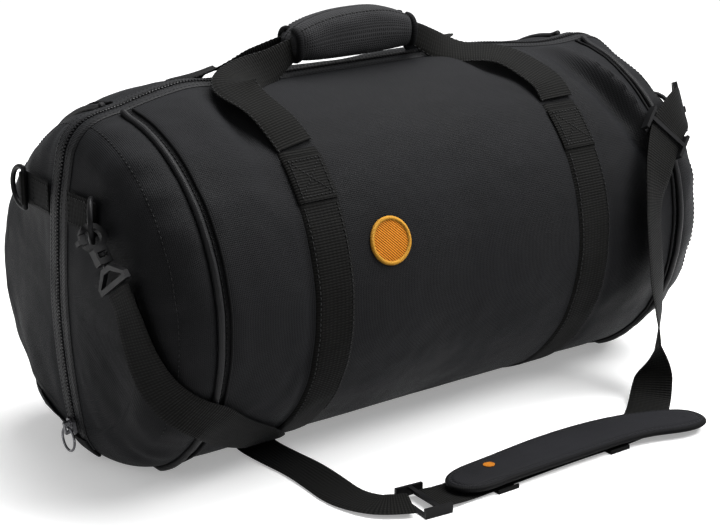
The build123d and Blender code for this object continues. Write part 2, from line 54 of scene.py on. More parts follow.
# ---- the bag's form, as in the CAD ----
RADIUS = 158.0  # the barrel, outside
AXIS_Z = 152.5  # height of the barrel's axis
RIM_X = 255.0  # where the barrel turns into a cap's rounded shoulder
EDGE = 48.0  # radius of the shoulder
EDGE_R = RADIUS - EDGE
EDGE_ARC = 66.0  # about the length of the shoulder's arc
CAP_DEPTH = 57.0  # from the rim to the tip of the dome
DOME = (CAP_DEPTH**2 + EDGE_R**2 - EDGE**2) / (2 * (CAP_DEPTH - EDGE))
DOME_X = RIM_X + CAP_DEPTH - DOME
DOME_ANGLE = math.atan2(EDGE_R, RIM_X - DOME_X)
UPRIGHT = math.pi / 2  # the outward angle of the barrel's wall in a profile
WALL = 12.4  # cover and foam
DEEPEST = -11.3  # a dent stops short of the lining
GAP = 0.3  # between the two halves
FOLD_Z, FOLD_Y = 38.0, 116.0
BAND_X = 144.5  # middle of a webbing band
WEB, WEB_T = 38.0, 1.6  # width and thickness of webbing
TAPE = 15.0  # width of one zipper tape
ZIP_END_Z = 14.0
LEG_ANGLE = 40.0  # where the handle legs leave the barrel, from the top


# ---- materials ----
def shade(colour, amount):
    return tuple(max(0.0, channel * amount) for channel in colour)


class Shader:
    """A procedural material while its nodes are put together."""

    def __init__(self, name):
        self.material = bpy.data.materials.new(name)
        self.material.use_nodes = True
        self.nodes = self.material.node_tree.nodes
        self.surface = self.nodes["Principled BSDF"].inputs
        self.where = self.nodes.new("ShaderNodeTexCoord").outputs

    def feed(self, inputs, values):
        """Gives each named input a number or colour, or a link from another node's output."""
        for name, value in values.items():
            if isinstance(value, bpy.types.NodeSocket):
                self.material.node_tree.links.new(value, inputs[name])
            else:
                inputs[name].default_value = value

    def wave(self, vector, direction, scale, distortion=0.0):
        texture = self.nodes.new("ShaderNodeTexWave")
        texture.wave_type = "BANDS"
        texture.bands_direction = direction
        self.feed(texture.inputs, {"Scale": scale, "Distortion": distortion, "Detail Scale": 1.5,
                                   "Vector": vector})
        return texture.outputs["Fac"]

    def speckle(self, vector, scale, detail=3.0):
        texture = self.nodes.new("ShaderNodeTexNoise")
        self.feed(texture.inputs, {"Scale": scale, "Detail": detail, "Roughness": 0.55,
                                   "Vector": vector})
        return texture.outputs["Fac"]

    def combine(self, operation, a, b):
        node = self.nodes.new("ShaderNodeMath")
        node.operation = operation
        self.feed(node.inputs, {0: a, 1: b})
        return node.outputs[0]

    def spread(self, value, low, high, start=0.0, end=1.0):
        node = self.nodes.new("ShaderNodeMapRange")
        self.feed(node.inputs, {"Value": value, "From Min": start, "From Max": end, "To Min": low,
                                "To Max": high})
        return node.outputs["Result"]

    def tint(self, factor, dark, light):
        node = self.nodes.new("ShaderNodeMix")
        node.data_type = "RGBA"
        self.feed(node.inputs, {"Factor": factor, 6: (*dark, 1), 7: (*light, 1)})
        return node.outputs[2]

    def hollow_shade(self, reach=0.03):
        """Painted shade: 1 in the open and less in a hollow, within a reach in metres."""
        node = self.nodes.new("ShaderNodeAmbientOcclusion")
        node.samples = 4
        self.feed(node.inputs, {"Distance": reach})
        return node.outputs["AO"]

    def bump(self, height, strength, distance):
        node = self.nodes.new("ShaderNodeBump")
        self.feed(node.inputs, {"Strength": strength, "Distance": distance, "Height": height})
        return node.outputs["Normal"]


def cloth(name, colour, pitch=1.3, weave="plain", contrast=0.30, rough=(0.62, 0.82), bump=0.35,
          sheen=0.25, coords="UV", shine=0.35):
    """Woven cloth, its colour darkened in hollows as painted shade.  pitch is the thread spacing; UV maps
    are in metres.
    """
    shader = Shader(name)
    solid, flat = shader.where["Object"], shader.where[coords]
    thread = 0.314 / (pitch * M)  # the wave texture's scale for this pitch
    if weave == "plain":
        across, along = shader.wave(flat, "X", thread), shader.wave(flat, "Y", thread)
        pattern = shader.combine("MAXIMUM", across, along)
    elif weave == "rib":
        rib, cord = shader.wave(flat, "X", thread), shader.wave(flat, "Y", thread * 0.62)
        pattern = shader.combine("MULTIPLY", rib, shader.spread(cord, 0.55, 1.0))
    else:
        pattern = shader.wave(flat, "DIAGONAL", thread, 0.4)
    fuzz = shader.speckle(solid, 1500.0, 2.0)
    clouds = shader.speckle(solid, 9.0, 4.0)
    threads = shader.combine("MULTIPLY", pattern, shader.spread(fuzz, 0.6, 1.1))
    base = shader.combine("ADD", shader.spread(threads, -contrast, contrast),
                          shader.spread(clouds, 0.28, 0.72, 0.3, 0.7))
    # painted shade: the colour darkens in creases, under straps and beside seams, where shade falls
    base = shader.combine("MULTIPLY", base, shader.spread(shader.hollow_shade(), 0.0, 1.0, 0.35, 0.95))
    shader.feed(shader.surface, {
        "Base Color": shader.tint(base, shade(colour, 0.30), shade(colour, 1.6)),
        "Roughness": shader.spread(clouds, *rough, 0.35, 0.65),
        "Normal": shader.bump(threads, bump, 0.0007),
        "Sheen Weight": sheen, "Sheen Roughness": 0.45, "Sheen Tint": (0.75, 0.80, 0.90, 1),
        "Specular IOR Level": shine})
    return shader.material


def hard(name, colour, metallic, rough, wear=0.5, shine=0.3):
    """Metal or moulded plastic with fine grain and slightly rubbed high spots."""
    shader = Shader(name)
    fine = shader.speckle(shader.where["Object"], 260.0, 4.0)
    broad = shader.speckle(shader.where["Object"], 45.0, 3.0)
    mix = shader.combine("ADD", shader.spread(fine, -0.25, 0.25, 0.3, 0.7),
                         shader.spread(broad, 0.1, 0.9, 0.3, 0.7))
    shader.feed(shader.surface, {
        "Base Color": shader.tint(mix, shade(colour, 1 - wear / 2), shade(colour, 1 + wear)),
        "Roughness": shader.spread(mix, rough - 0.08, rough + 0.1),
        "Normal": shader.bump(fine, 0.05, 0.0004),
        "Metallic": metallic, "Specular IOR Level": shine})
    return shader.material


MATERIALS = {
    "nylon": cloth("woven_nylon", (0.0082, 0.0083, 0.0091), pitch=1.6, contrast=0.28, bump=0.5,
                   sheen=0.03, shine=0.07, rough=(0.50, 0.70)),
    "webbing": cloth("ribbed_webbing", (0.0062, 0.0061, 0.0055), pitch=2.4, weave="rib",
                     contrast=0.5, bump=0.8, sheen=0.02, shine=0.07),
    "tape": cloth("zipper_tape", (0.0085, 0.0085, 0.0092), pitch=1.6, weave="twill", contrast=0.3,
                  sheen=0.04, rough=(0.40, 0.55), shine=0.12),
    "piping": cloth("covered_piping", (0.0070, 0.0070, 0.0078), pitch=1.5, contrast=0.3,
                    rough=(0.42, 0.58), shine=0.16, sheen=0.02),
    "binding": cloth("edge_binding", (0.0050, 0.0050, 0.0055), pitch=1.8, weave="rib", contrast=0.4,
                     sheen=0.015, shine=0.08),
    "grip": cloth("grip_nylon", (0.0190, 0.0190, 0.0200), pitch=2.2, contrast=0.4, bump=0.7,
                  sheen=0.03, shine=0.12),
    "pad": cloth("pad_nylon", (0.0088, 0.0088, 0.0104), pitch=1.5, contrast=0.28, bump=0.5,
                 sheen=0.03, shine=0.09),
    "lining": cloth("smooth_lining", (0.085, 0.085, 0.095), pitch=2.0, coords="Object",
                    contrast=0.2, rough=(0.45, 0.6)),
    "thread": cloth("sewing_thread", (0.020, 0.020, 0.020), pitch=0.9, coords="Object",
                    contrast=0.4, rough=(0.45, 0.6), bump=0.3, sheen=0.03, shine=0.1),
    "badge": cloth("embroidered_orange", (0.60, 0.20, 0.014), pitch=1.3, weave="twill",
                   contrast=0.45, rough=(0.45, 0.6), bump=0.8, sheen=0.0, shine=0.1),
    "badge_rim": cloth("embroidered_gold", (0.70, 0.34, 0.040), pitch=1.1, weave="rib",
                       contrast=0.3, rough=(0.45, 0.6), bump=0.6, sheen=0.0, shine=0.1),
    "teeth": hard("nylon_coil", (0.009, 0.009, 0.010), 0.0, 0.35, shine=0.2),
    "hardware": hard("black_steel", (0.007, 0.007, 0.0075), 0.0, 0.40, wear=0.9, shine=0.10),
    "steel": hard("dark_nickel", (0.14, 0.14, 0.15), 1.0, 0.26),
    "plastic": hard("moulded_plastic", (0.006, 0.006, 0.0065), 0.0, 0.42, wear=0.3, shine=0.10),
}


# ---- mesh helpers ----
def make_object(name, points, faces, material, uvs=None, smooth=True):
    """A mesh object from millimetre points.  uvs holds one (u, v) in metres per point."""
    mesh = bpy.data.meshes.new(name)
    mesh.from_pydata([tuple(p) for p in np.asarray(points, float) * M], [], faces)
    if uvs is not None:
        layer = mesh.uv_layers.new(name="weave")
        index = np.zeros(len(mesh.loops), int)
        mesh.loops.foreach_get("vertex_index", index)
        layer.data.foreach_set("uv", np.asarray(uvs, float)[index].ravel())
    mesh.polygons.foreach_set("use_smooth", [smooth] * len(mesh.polygons))
    mesh.materials.append(MATERIALS[material])
    mesh.validate()
    mesh.update()
    obj = bpy.data.objects.new(name, mesh)
    bpy.context.scene.collection.objects.link(obj)
    return obj


def grid_quads(rows, columns, offset=0, closed=False, flip=False):
    """Quads of a rows x columns grid of points; closed joins the last column to the first."""
    quads = []
    for i in range(rows - 1):
        for j in range(columns if closed else columns - 1):
            k = (j + 1) % columns
            a, b = offset + i * columns + j, offset + i * columns + k
            c, d = b + columns, a + columns
            quads.append((d, c, b, a) if flip else (a, b, c, d))
    return quads


def slab(name, top, bottom, material, uvs, turned=False):
    """A closed sheet between two equal grids of points; turned swaps the side that faces out."""
    if turned:
        top, bottom, uvs = top[:, ::-1], bottom[:, ::-1], uvs[:, ::-1]
    rows, columns = top.shape[:2]
    count = rows * columns
    faces = grid_quads(rows, columns) + grid_quads(rows, columns, count, flip=True)
    edge = ([(0, j) for j in range(columns)] + [(i, columns - 1) for i in range(1, rows)]
            + [(rows - 1, j) for j in range(columns - 2, -1, -1)]
            + [(i, 0) for i in range(rows - 2, 0, -1)])
    for (i, j), (k, m) in zip(edge, edge[1:] + edge[:1]):
        a, b = i * columns + j, k * columns + m
        faces.append((b, a, a + count, b + count))
    points = np.concatenate([top.reshape(-1, 3), bottom.reshape(-1, 3)])
    uvs = np.concatenate([uvs.reshape(-1, 2)] * 2)
    return sharpen(make_object(name, points, faces, material, uvs))


def sharpen(obj, angle=50.0):
    """Keeps corners crisp where faces meet at more than the angle."""
    bpy.context.view_layer.objects.active = obj
    obj.select_set(True)
    bpy.ops.object.shade_smooth_by_angle(angle=math.radians(angle))
    obj.select_set(False)
    return obj


def grids(*values):
    """The numbers or arrays given, as arrays of one common shape."""
    return np.broadcast_arrays(*(np.asarray(value, float) for value in values))


def uv_grid(u, v):
    return np.stack(np.broadcast_arrays(u * M, v * M), axis=-1)


def unit(vectors):
    return vectors / np.maximum(np.linalg.norm(vectors, axis=-1, keepdims=True), 1e-9)


def distances(line):
    """How far along a line each of its points lies."""
    return np.concatenate([[0], np.cumsum(np.linalg.norm(np.diff(line, axis=0), axis=1))])


def resample(line, count):
    line = np.asarray(line, float)
    run = distances(line[:, :3])
    where = np.linspace(0, run[-1], count)
    return np.stack([np.interp(where, run, line[:, k]) for k in range(line.shape[1])], axis=1)


def cubic(points, count):
    """count points evenly along a natural cubic curve through the given points."""
    points = np.asarray(points, float)
    knots = distances(points)
    n = len(points)
    h = np.diff(knots)
    system, right = np.eye(n), np.zeros((n, points.shape[1]))
    for i in range(1, n - 1):
        system[i, i - 1:i + 2] = h[i - 1], 2 * (h[i - 1] + h[i]), h[i]
        right[i] = 6 * ((points[i + 1] - points[i]) / h[i] - (points[i] - points[i - 1]) / h[i - 1])
    bend = np.linalg.solve(system, right)
    t = np.linspace(0, knots[-1], 40 * n)
    i = np.clip(np.searchsorted(knots, t) - 1, 0, n - 2)
    a, b, w = (part[:, None] for part in (knots[i + 1] - t, t - knots[i], h[i]))
    fine = ((bend[i] * a**3 + bend[i + 1] * b**3) / (6 * w)
            + (points[i] / w - bend[i] * w / 6) * a
            + (points[i + 1] / w - bend[i + 1] * w / 6) * b)
    return resample(fine, count)


def crowded(count):
    """Positions from -1 to 1 that lie closer together towards both ends."""
    return np.sin(np.linspace(-math.pi / 2, math.pi / 2, count))


def ribbon(name, line, normals, widths, thickness, material, cup=0.0, columns=11):
    """A flat strap along a line, thinner at its edges; its top's points and normals too."""
    line, normals = np.asarray(line, float), np.asarray(normals, float)
    along = unit(np.gradient(line, axis=0))
    across = unit(np.cross(along, normals))
    up = unit(np.cross(across, along))
    v = crowded(columns)
    height = thickness / 2 * np.clip(1 - 1.2 * np.abs(v)**14, 0.15, 1)
    half = np.broadcast_to(np.asarray(widths, float) / 2, (len(line),))[:, None]
    middle = line[:, None] + across[:, None] * (half * v)[..., None]
    middle = middle - up[:, None] * (cup * v**2)[None, :, None]
    rise = up[:, None] * height[None, :, None]
    uvs = uv_grid(distances(line)[:, None], half * v)
    return slab(name, middle + rise, middle - rise, material, uvs), middle + rise, up


def tube(name, line, radius, material, sides=10, closed=False):
    """A round bead along a line."""
    line = np.asarray(line, float)
    if closed:
        along = unit(np.roll(line, -1, axis=0) - np.roll(line, 1, axis=0))
    else:
        along = unit(np.gradient(line, axis=0))
    side = np.zeros_like(along)
    start = (0.0, 0.0, 1.0) if abs(along[0][2]) < 0.8 else (1.0, 0.0, 0.0)
    side[0] = unit(np.cross(along[0], start))
    for i in range(1, len(line)):
        side[i] = unit(side[i - 1] - along[i] * np.dot(side[i - 1], along[i]))
    other = np.cross(along, side)
    turn = np.linspace(0, 2 * math.pi, sides, endpoint=False)
    ring = (side[:, None] * np.cos(turn)[None, :, None]
            + other[:, None] * np.sin(turn)[None, :, None])
    points = (line[:, None] + radius * ring).reshape(-1, 3)
    rows = len(line)
    faces = grid_quads(rows, sides, closed=True, flip=True)
    if closed:
        last = (rows - 1) * sides
        faces += [(j, (j + 1) % sides, last + (j + 1) % sides, last + j) for j in range(sides)]
    else:
        faces += [tuple(range(sides)), tuple(range(rows * sides - 1, (rows - 1) * sides - 1, -1))]
    uvs = uv_grid(distances(line)[:, None], radius * turn)
    return make_object(name, points, faces, material, uvs.reshape(-1, 2))


STITCH_WIDTH = 0.85
STITCH_ROOT = 0.3  # how far a stitch's ends go into the cloth


def stitches(name, lines, pitch=4.4, length=3.3, proud=0.35):
    """Rows of stitches.  Each line is (points, normals) along a seam."""
    points, faces = [], []
    for line, normals in lines:
        line, normals = np.asarray(line, float), np.asarray(normals, float)
        count = max(2, int(distances(line)[-1] / pitch))
        both = resample(np.concatenate([line, normals], axis=1), count)
        centre, up = both[:, :3], unit(both[:, 3:])
        along = unit(np.gradient(centre, axis=0))
        across = np.cross(up, along) * STITCH_WIDTH / 2
        for c, u, a, s in zip(centre, up, along, across):
            root, crest, first = c - u * STITCH_ROOT, c + u * proud, len(points)
            points += [root - a * length / 2, crest - a * length / 4 - s,
                       crest - a * length / 4 + s, crest + a * length / 4 - s,
                       crest + a * length / 4 + s, root + a * length / 2,
                       root - u * STITCH_ROOT]
            faces += [tuple(first + k for k in face)
                      for face in ((0, 1, 2), (1, 3, 4, 2), (5, 4, 3), (0, 6, 3, 1), (6, 5, 3),
                                   (0, 2, 4, 6), (6, 4, 5))]
    return make_object(name, points, faces, "thread")


def place(obj, body, slot, *nodes):
    """Rides on a body and stands for CAD nodes; slot is not used."""
    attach(obj, body)
    if nodes:
        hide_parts(*nodes)


def place_end(obj, body, slot, side, node):
    """Places one end's piece; the near one stands for the CAD node that holds both ends."""
    place(obj, body, slot, *([node] if side < 0 else []))


# ---- the soft skin ----
def wobble(p, scale, seed):
    return np.array([noise.noise(Vector((a / scale + seed, b / scale, c / scale)))
                     for a, b, c in p.reshape(-1, 3)]).reshape(p.shape[:-1])


def bell(value, centre, width):
    return np.exp(-((value - centre) / width)**2)


def fade(value, low, high):
    t = np.clip((value - low) / (high - low), 0, 1)
    return t * t * (3 - 2 * t)


# Hollows and swells of the slack cloth: height, x and its spread, angle from the top in degrees
# (negative at the front) and its spread.
SLACK = ((-8.5, -180, 11, -24, 17),  # beside the near band, where the handle pulls
         (-6.0, 108, 16, -15, 13),  # the same inside the far band
         (3.0, 160, 14, -20, 14),  # the swell beyond the far band
         (-5.0, -196, 18, 34, 18),  # behind the near band
         (-9.0, -RIM_X - 26, 26, 42, 34),  # the slack shoulders of the padded ends
         (-8.5, RIM_X + 18, 26, -32, 30))
# The top sinks between its stiff places.  This one goes on under the zipper.
SAG = ((-9.0, -RIM_X - 8, 30, 10, 42), (5.0, -186, 30, 6, 34), (-9.5, 222, 62, 8, 36))
BAY_X = 72.0  # middle of the cloth between the bag's middle and a band
VALLEY_X = 207  # the deep fold beyond the far band, at VALLEY_ANGLE
VALLEY_ANGLE = -40
VALLEY_SLANT = -0.60  # millimetres along x for each degree


def dents(x, angle, table):
    return sum(height * bell(x, where, wide) * bell(angle, turn, spread)
               for height, where, wide, turn, spread in table)


def relief(p):
    """How far the cloth stands off the plain form at a point of it: folds, dents and seams."""
    x, y, z = p[..., 0], p[..., 1], p[..., 2] - AXIS_Z
    turn = np.arctan2(y, z)
    angle = np.degrees(turn)
    out = np.abs(x)
    wall = 1 - fade(out, RIM_X - 4, RIM_X + 10)
    d = 1.5 * wobble(p, 75.0, 3.7)
    d += 0.7 * wobble(p * np.array([0.5, 1.0, 1.0]), 26.0, 11.2) * wall
    d += 0.35 * wobble(p, 11.0, 5.1)
    # the cloth is drawn in at every seam and stands out a little between them
    bay = np.cos(np.clip((out - BAY_X) / BAY_X, -1, 1) * math.pi / 2) * (out < 2 * BAY_X)
    d += 1.3 * wall * bay
    d += 1.6 * wall * bell(out, 208, 26)
    d -= 2.6 * bell(out, RIM_X - 1, 6)
    d -= 1.3 * bell(out, BAND_X + 23, 5) * (np.hypot(y, z) > RADIUS - 8)
    # soft folds that run round the barrel beside the bands and the rims
    ripple = np.sin(turn * 9 + 6.6 * wobble(p, 120.0, 8.3))
    d += ripple * wall * (0.9 * bell(out, 178, 14) + 0.8 * bell(out, RIM_X - 18, 10))
    # the cap's cloth is pulled from the rim to the zipper
    gather = np.sin(turn * 22 + 3 * wobble(p, 60.0, 1.9))
    d += 0.9 * gather * bell(out, RIM_X + 26, 16)
    crumple = np.sin(y / 9 + 2 * wobble(p, 70.0, 6.6)) * bell(z, -75, 40)
    d += 1.1 * crumple * (out > RIM_X + 30) * (z < -10)
    # slack where the handles pull, and the fold with its ridge beyond the far band
    d += dents(x, angle, SLACK)
    valley = VALLEY_X + (angle - VALLEY_ANGLE) * VALLEY_SLANT
    d -= 13.5 * bell(x, valley, 11) * bell(angle, VALLEY_ANGLE, 24)
    d += 9.0 * bell(x, valley + 18, 7.5) * bell(angle, VALLEY_ANGLE, 22)
    # it stays on the zipper, on the ring tabs, on the floor and on the fold line
    on_zip = np.where((z > 0) | (out > RIM_X), fade(np.abs(y), TAPE - 2, TAPE + 16), 1.0)
    tabs = 1 - bell(z, 79, 22) * (out > RIM_X + 8) * (1 - fade(np.abs(y), 62, 88))
    flat = fade(p[..., 2], 3, 34)
    fold = 1 - bell(p[..., 2], FOLD_Z, 9) * (y > 60)
    return np.maximum((d * on_zip * flat * fold + dents(x, angle, SAG)) * tabs, DEEPEST)


def skin(x, r, lean, theta, lift, floor=0.0, soft=True):
    """Points on the bag.  (x, r) is on the profile, lean is its outward angle, theta in radians."""
    x, r, lean, theta, off = grids(x, r, lean, theta, lift)
    if soft:
        plain = np.stack([x, r * np.sin(theta), AXIS_Z + r * np.cos(theta)], axis=-1)
        off = off + relief(plain)
    radial = r + np.sin(lean) * off
    px = x + np.where(x < 0, -1.0, 1.0) * np.cos(lean) * off
    py, pz = radial * np.sin(theta), AXIS_Z + radial * np.cos(theta)
    return np.stack([px, py, np.maximum(pz, floor)], axis=-1)


def barrel(x, theta, lift, floor=0.0):
    """Points on the barrel's wall."""
    return skin(x, RADIUS, UPRIGHT, theta, lift, floor)


def profile(step=3.6):
    """(x, r, lean) from the near tip over the barrel to the far tip."""
    dome = [(DOME_X + DOME * math.cos(a), DOME * math.sin(a), a)
            for a in np.linspace(0, DOME_ANGLE, int(EDGE_R / step) + 6)]
    edge = [(RIM_X + EDGE * math.cos(a), EDGE_R + EDGE * math.sin(a), a)
            for a in np.linspace(DOME_ANGLE, UPRIGHT, int(EDGE_ARC / step) + 4)[1:]]
    wall = [(x, RADIUS, UPRIGHT) for x in np.linspace(RIM_X, 0, int(RIM_X / step))[1:]]
    half = dome + edge + wall
    return np.array([(-x, r, a) for x, r, a in half] + half[-2::-1])


def fold_angle(r):
    """Angle from the top, in radians, where the rear half ends, for each profile radius."""
    drop = AXIS_Z - FOLD_Z
    return np.where(r > drop, np.arccos(np.clip(-drop / np.maximum(r, 1), -1, 1)), math.pi)


FOLD_TURN = float(fold_angle(RADIUS))


def half_skin(face, sign, body):
    """Cover and foam of one half, caps included."""
    line = profile()
    x, r, lean = (column[:, None] for column in line.T)
    last, tiny = fold_angle(r), GAP / np.maximum(r, 6)
    if sign > 0:
        theta = tiny + np.linspace(0, 1, 118) * (last - 2 * tiny)
    else:
        theta = -(tiny + np.linspace(0, 1, 190) * (2 * math.pi - last - 2 * tiny))
    under = np.where(np.abs(np.abs(x) - BAND_X) < WEB / 2 + 1, WEB_T + 0.3, 0.15)
    top = skin(x, r, lean, theta, 0.0, under)
    bottom = skin(x, r, lean, theta, -WALL, WALL, soft=False)
    uvs = uv_grid(distances(line[:, :2])[:, None], np.maximum(r, 40) * theta)
    piece = slab(f"{face}_skin", top[::-1], bottom[::-1], "nylon", uvs[::-1], turned=sign < 0)
    place(piece, body, "nylon", *(f"{part}{face}_{layer}" for layer in ("cover", "foam")
                                  for part in ("", "near_cap_", "far_cap_")))


for face, sign, body in HALVES:
    half_skin(face, sign, body)


def wall_strip(name, middle_x, angles, lift, thickness, rows):
    """Webbing on the barrel between two angles from the top, in degrees."""
    theta = np.radians(np.linspace(*sorted(angles), rows))[:, None]
    v = crowded(13)
    x = middle_x + WEB / 2 * v[None]
    height = lift + thickness * np.clip(1 - np.abs(v)**12, 0.1, 1)[None]
    return slab(name, barrel(x, theta, height), barrel(x, theta, lift - 0.4, WEB_T), "webbing",
                uv_grid(RADIUS * theta, x), turned=True)


def wall_line(x, angles, lift):
    """(points, normals) along a line on the barrel; x and angles are arrays or numbers."""
    x, angles = grids(x, angles)
    theta = np.radians(angles)
    return barrel(x, theta, lift), np.stack([0 * x, np.sin(theta), np.cos(theta)], axis=-1)


# ---- bands, box stitches ----
FOLD_DEGREES = math.degrees(FOLD_TURN)
BAND_END = {"front": -(360 - FOLD_DEGREES - 0.3), "rear": FOLD_DEGREES - 0.3}
BAND_LIFT, BAND_T = 0.1, 1.7
ANCHOR = (43.5, 58.0)  # the webbing end that is box-stitched to a band, in degrees
BOX = (45.0, 56.5)  # its stitched box
for face, sign, body in HALVES:
    seams = []
    for end, side in ENDS:
        band = wall_strip(f"{face}_band_{end}", side * BAND_X,
                          (sign * (LEG_ANGLE + 1), BAND_END[face]), BAND_LIFT, BAND_T, rows=150)
        place_end(band, body, "webbing", side, f"{face}_bands")
        for inset in (3 - WEB / 2, WEB / 2 - 3):
            angles = np.linspace(sign * 60, sign * 132, 160)
            seams.append(wall_line(side * BAND_X + inset, angles, 1.9))
    place(stitches(f"{face}_band_stitches", seams), body, "webbing")

for face, sign, body in HALVES:
    seams = []
    for end, side in ENDS:
        anchor = wall_strip(f"{face}_anchor_{end}", side * BAND_X,
                            (sign * ANCHOR[0], sign * ANCHOR[1]), BAND_T, BAND_T, rows=24)
        place_end(anchor, body, "webbing", side, f"{face}_handle_anchors")
        left, right = (side * BAND_X + inset for inset in (4 - WEB / 2, WEB / 2 - 4))
        a, b = sign * BOX[0], sign * BOX[1]
        box = [(left, a), (right, a), (right, b), (left, b), (left, a)]
        runs = [(*pair, 20) for pair in zip(box, box[1:])]
        runs += [(box[0], box[2], 24), (box[1], box[3], 24)]
        for (x0, t0), (x1, t1), count in runs:
            seams.append(wall_line(np.linspace(x0, x1, count), np.linspace(t0, t1, count), 3.5))
    place(stitches(f"{face}_box_stitches", seams, pitch=3.2, length=2.6, proud=0.5), body, "webbing")

# ---- rim piping ----
WELT_INSET = 9.0
SEAM_INSET = 5.2
SHOULDER_LEAN = 0.86  # where on the shoulder's arc its seam runs, in radians
for face, sign, body in HALVES:
    last, count = (FOLD_TURN, 130) if sign > 0 else (2 * math.pi - FOLD_TURN, 220)
    theta = sign * np.linspace((TAPE + 3) / RADIUS, last - 0.004, count)
    seams = []
    for end, side in ENDS:
        bead = tube(f"{face}_{end}_piping", barrel(side * RIM_X, theta, 2.2, 2.8), 3.0, "piping",
                    sides=14)
        place_end(bead, body, "piping", side, f"{face}_piping")
        cord = tube(f"{face}_{end}_welt", barrel(side * (RIM_X - WELT_INSET), theta, 1.0, 1.0), 1.3,
                    "binding", sides=8)
        place(cord, body, "piping")
        sewn = theta[np.abs(theta) < 2.25]
        seams.append(wall_line(side * (RIM_X - SEAM_INSET), np.degrees(sewn), 0.3))
        rise, reach = math.sin(SHOULDER_LEAN), math.cos(SHOULDER_LEAN)
        rim = skin(side * (RIM_X + EDGE * reach), EDGE_R + EDGE * rise, SHOULDER_LEAN, sewn, 0.3)
        out = np.stack([np.full_like(sewn, side * reach), rise * np.sin(sewn),
                        rise * np.cos(sewn)], axis=-1)
        seams.append((rim, out))
    place(stitches(f"{face}_rim_stitches", seams, pitch=4.6), body, "piping")


# ---- zipper ----
def zip_path(step=2.2, end_z=ZIP_END_Z):
    """(run, x, height, lean) down the middle; height is from the axis, less than 0 below it."""
    line = profile(1.0)
    x, r, _ = line.T
    caps = (np.abs(x) >= RIM_X) & (r <= AXIS_Z - end_z)
    half = len(x) // 2
    near = [(*row, -1.0) for row, keep in zip(line[:half][::-1], caps[:half][::-1]) if keep]
    far = [(*row, -1.0) for row, keep in zip(line[half:][::-1], caps[half:][::-1]) if keep]
    rows = np.array(near + [(*row, 1.0) for row in line] + far)
    flat = np.stack([rows[:, 0], rows[:, 1] * rows[:, 3]], axis=-1)
    keep = np.concatenate([[True], np.linalg.norm(np.diff(flat, axis=0), axis=1) > 1e-6])
    rows, flat = rows[keep], flat[keep]
    run = distances(flat)
    where = np.linspace(0, run[-1], int(run[-1] / step))
    x, height, lean = (np.interp(where, run, values) for values in (*flat.T, rows[:, 2]))
    return where, x, height, lean


FLAT_R, ROUND_R = 30, 70  # inside the first radius a cap counts as flat, outside the other round


def over_zip(x, height, lean, y, lift, floor=0.0):
    """Points beside the middle line at y, and lift above the skin."""
    x, height, lean, y, lift = grids(x, height, lean, y, lift)
    r = np.abs(height)
    plain = np.sqrt(np.maximum(r**2 - y**2, 0))
    mix = fade(r, FLAT_R, ROUND_R)
    drop = np.where(height < 0, -1.0, 1.0) * ((1 - mix) * r + mix * plain)
    radius = np.hypot(y, drop)
    dome = r < ROUND_R
    lean = np.where(dome, np.arcsin(np.clip(radius / DOME, 0, 1)), lean)
    on_dome = np.where(x < 0, -1.0, 1.0) * (DOME_X + DOME * np.cos(lean))
    return skin(np.where(dome, on_dome, x), radius, lean, np.arctan2(y, drop), lift, floor)


def edge_rise(low, high, inside):
    """A strip's height across its width, least where it is hardly inside its edge."""
    return low + high * np.clip(inside, 0.3, 1)


TAPE_EDGE = 1.6  # from the middle line to the edge of a tape
where, *zip_line = zip_path()
tooth_line = zip_path(step=3.0)[1:]
for face, sign, body in HALVES:
    keep = (sign < 0) | (AXIS_Z + zip_line[1] > FOLD_Z + GAP)
    v = np.linspace(0, 1, 9)
    y = sign * (TAPE_EDGE + (TAPE - TAPE_EDGE) * v)
    rise = edge_rise(0.15, 1.05, np.minimum(v * 14 + 0.4, (1 - v) * 14 + 0.35))
    rows = [values[keep][:, None] for values in zip_line]
    tape = slab(f"{face}_tape", over_zip(*rows, y, rise, 0.2), over_zip(*rows, y, -0.5, 0.1),
                "tape", uv_grid(where[keep][:, None], y), turned=sign > 0)
    place(tape, body, "zip_tape", f"{face}_zip_tape")
    seams = []
    rows = [values[keep] for values in zip_line]
    for offset in (5.5, 12.0):
        line = over_zip(*rows, sign * offset, 1.15)
        seams.append((line, over_zip(*rows, sign * offset, 3.0) - line))
    place(stitches(f"{face}_tape_stitches", seams, pitch=3.8, length=2.8), body, "zip_tape")

# the coil: one small rounded loop for each tooth, from the two tapes in turn
TOOTH_LIFT, TOOTH_ROOT = 1.3, 0.7
TOOTH_IN, TOOTH_OUT = 0.35, 2.6  # from the middle line
TOOTH_SHIFT = 0.75  # a quarter of the pitch, one way for each tape
LOOP = ((0, 0.75, 0.9), (0.5, 0.9, 1.1), (1, 0.7, 0.7))  # share of the way out, half length, height
for face, sign, body in HALVES:
    keep = AXIS_Z + tooth_line[1] > FOLD_Z + GAP
    rows = [values[keep] for values in tooth_line]
    inner = over_zip(*rows, sign * TOOTH_IN, TOOTH_LIFT)
    outer = over_zip(*rows, sign * TOOTH_OUT, TOOTH_LIFT)
    along = unit(np.gradient(inner, axis=0))
    up = unit(over_zip(*rows, sign * 1.4, 3.0) - over_zip(*rows, sign * 1.4, 1.0))
    points, faces = [], []
    for a, b, t, u in zip(inner, outer, along, up):
        base = len(points)
        for share, half, height in LOOP:
            centre = a * (1 - share) + b * share + t * TOOTH_SHIFT * sign
            root, crest = centre - u * TOOTH_ROOT, centre + u * height
            points += [root - t * half, root + t * half, crest + t * half * 0.6,
                       crest - t * half * 0.6]
        faces += [(base + 3, base + 2, base + 1, base), (base + 8, base + 9, base + 10, base + 11)]
        for k in (base, base + 4):
            faces += [(k + m, k + n, k + 4 + n, k + 4 + m) for m, n in ((0, 1), (1, 2), (2, 3), (3, 0))]
    coil = make_object(f"{face}_teeth", points, faces, "teeth", smooth=False)
    place(coil, body, "zip_teeth", f"{face}_zip_teeth")

